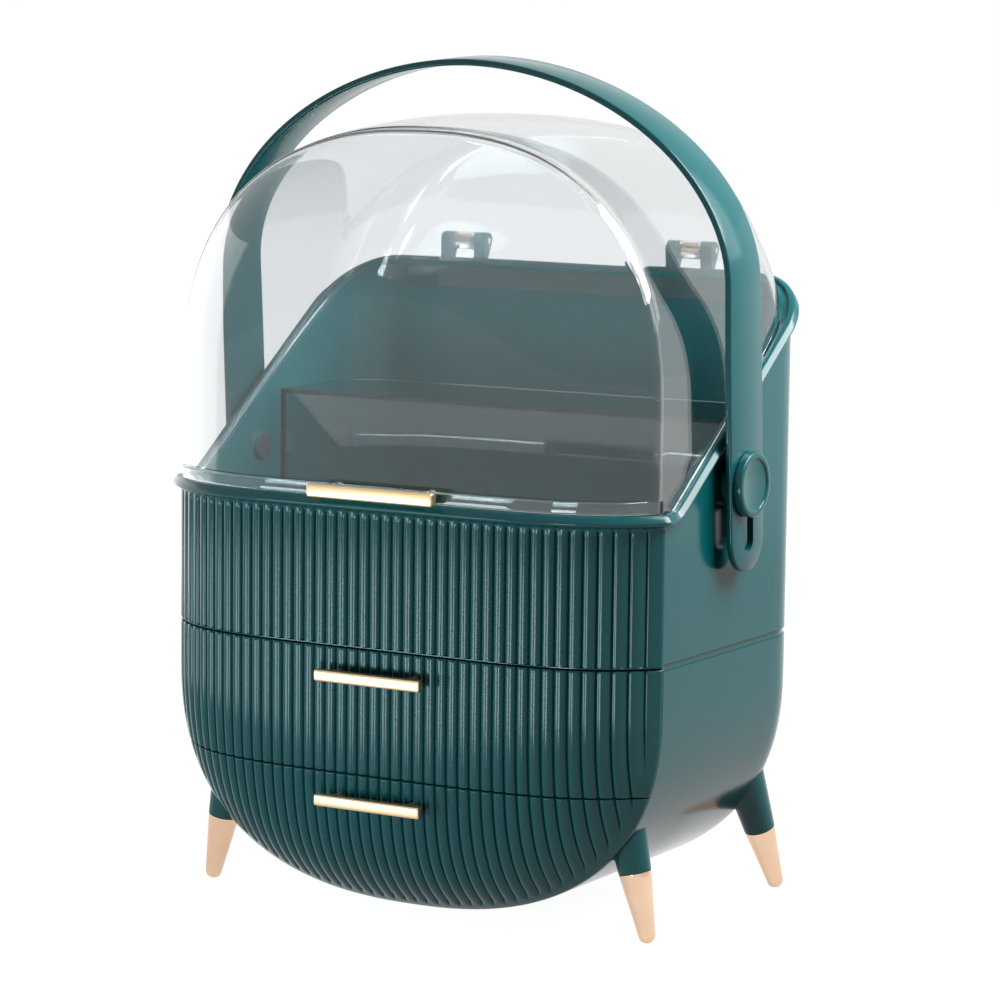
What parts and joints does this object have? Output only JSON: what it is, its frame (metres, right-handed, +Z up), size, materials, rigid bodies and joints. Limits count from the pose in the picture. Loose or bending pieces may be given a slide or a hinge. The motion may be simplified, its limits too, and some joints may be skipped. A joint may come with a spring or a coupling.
{
  "type": "dustproof makeup organizer",
  "caption": "Fluted capsule-shaped cosmetics case on four splayed legs, with a clear domed lid hinged at the rear, an arched carrying handle and drawers.",
  "frame": {"origin": "on the floor, below the middle of the case between the four feet", "axes": "+X to the object's right as seen from the front, +Y to the back, +Z up; the drawers open towards -Y"},
  "size_m": [0.2748, 0.1878, 0.3807],
  "materials": {
    "green_abs": "satin-gloss deep teal-green moulded ABS",
    "inner_green_abs": "satin teal-green moulded ABS of the drawer boxes and shelf",
    "clear_acrylic": "clear polished acrylic",
    "champagne_gold": "polished champagne-gold plating",
    "steel_screws": "bright zinc-plated steel"
  },
  "bodies": {
    "case": {"lower_casing": "green_abs", "mid_shelf": "inner_green_abs", "upper_tray": "green_abs", "step_shelf": "clear_acrylic", "casing_screws": "steel_screws", "ferrule_front_left": "champagne_gold", "ferrule_front_right": "champagne_gold", "ferrule_rear_left": "champagne_gold", "ferrule_rear_right": "champagne_gold", "hinge_pins": "champagne_gold", "pivot_stud_left": "steel_screws", "pivot_stud_right": "steel_screws"},
    "lid": {"lid_shell": "clear_acrylic", "lid_front": "clear_acrylic", "lid_bar": "champagne_gold", "lid_bar_screws": "steel_screws"},
    "pivot_caps": {"pivot_cap_left": "green_abs", "pivot_cap_right": "green_abs", "pivot_washer_left": "green_abs", "pivot_washer_right": "green_abs"},
    "handle": {"handle_band": "green_abs"},
    "upper_drawer": {"upper_drawer_box": "inner_green_abs", "upper_drawer_front": "green_abs", "upper_drawer_bar": "champagne_gold", "upper_bar_screws": "steel_screws", "upper_front_screws": "steel_screws"},
    "lower_drawer": {"lower_drawer_box": "inner_green_abs", "lower_drawer_front": "green_abs", "lower_drawer_bar": "champagne_gold", "lower_bar_screws": "steel_screws", "lower_front_screws": "steel_screws"}
  },
  "joints": [
    {"name": "lid_open", "type": "hinge", "parent": "case", "child": "lid", "pos_m": [0, 0.0705, 0.29194], "axis": [-1, 0, 0], "range_deg": [0, 55]},
    {"name": "handle_swing", "type": "hinge", "parent": "case", "child": "pivot_caps", "pos_m": [0, -0.0129, 0.1968], "axis": [-1, 0, 0], "range_deg": [0, 141]},
    {"name": "handle_slide", "type": "slide", "parent": "pivot_caps", "child": "handle", "axis": [0, -0.061, 0.9981], "range_m": [0, 0.025]},
    {"name": "upper_drawer_slide", "type": "slide", "parent": "case", "child": "upper_drawer", "axis": [0, -1, 0], "range_m": [0, 0.1]},
    {"name": "lower_drawer_slide", "type": "slide", "parent": "case", "child": "lower_drawer", "axis": [0, -1, 0], "range_m": [0, 0.1]}
  ],
  "couplings": [
    {"joint": "handle_swing", "follows": "lid_open", "ratio": 2.55}
  ]
}
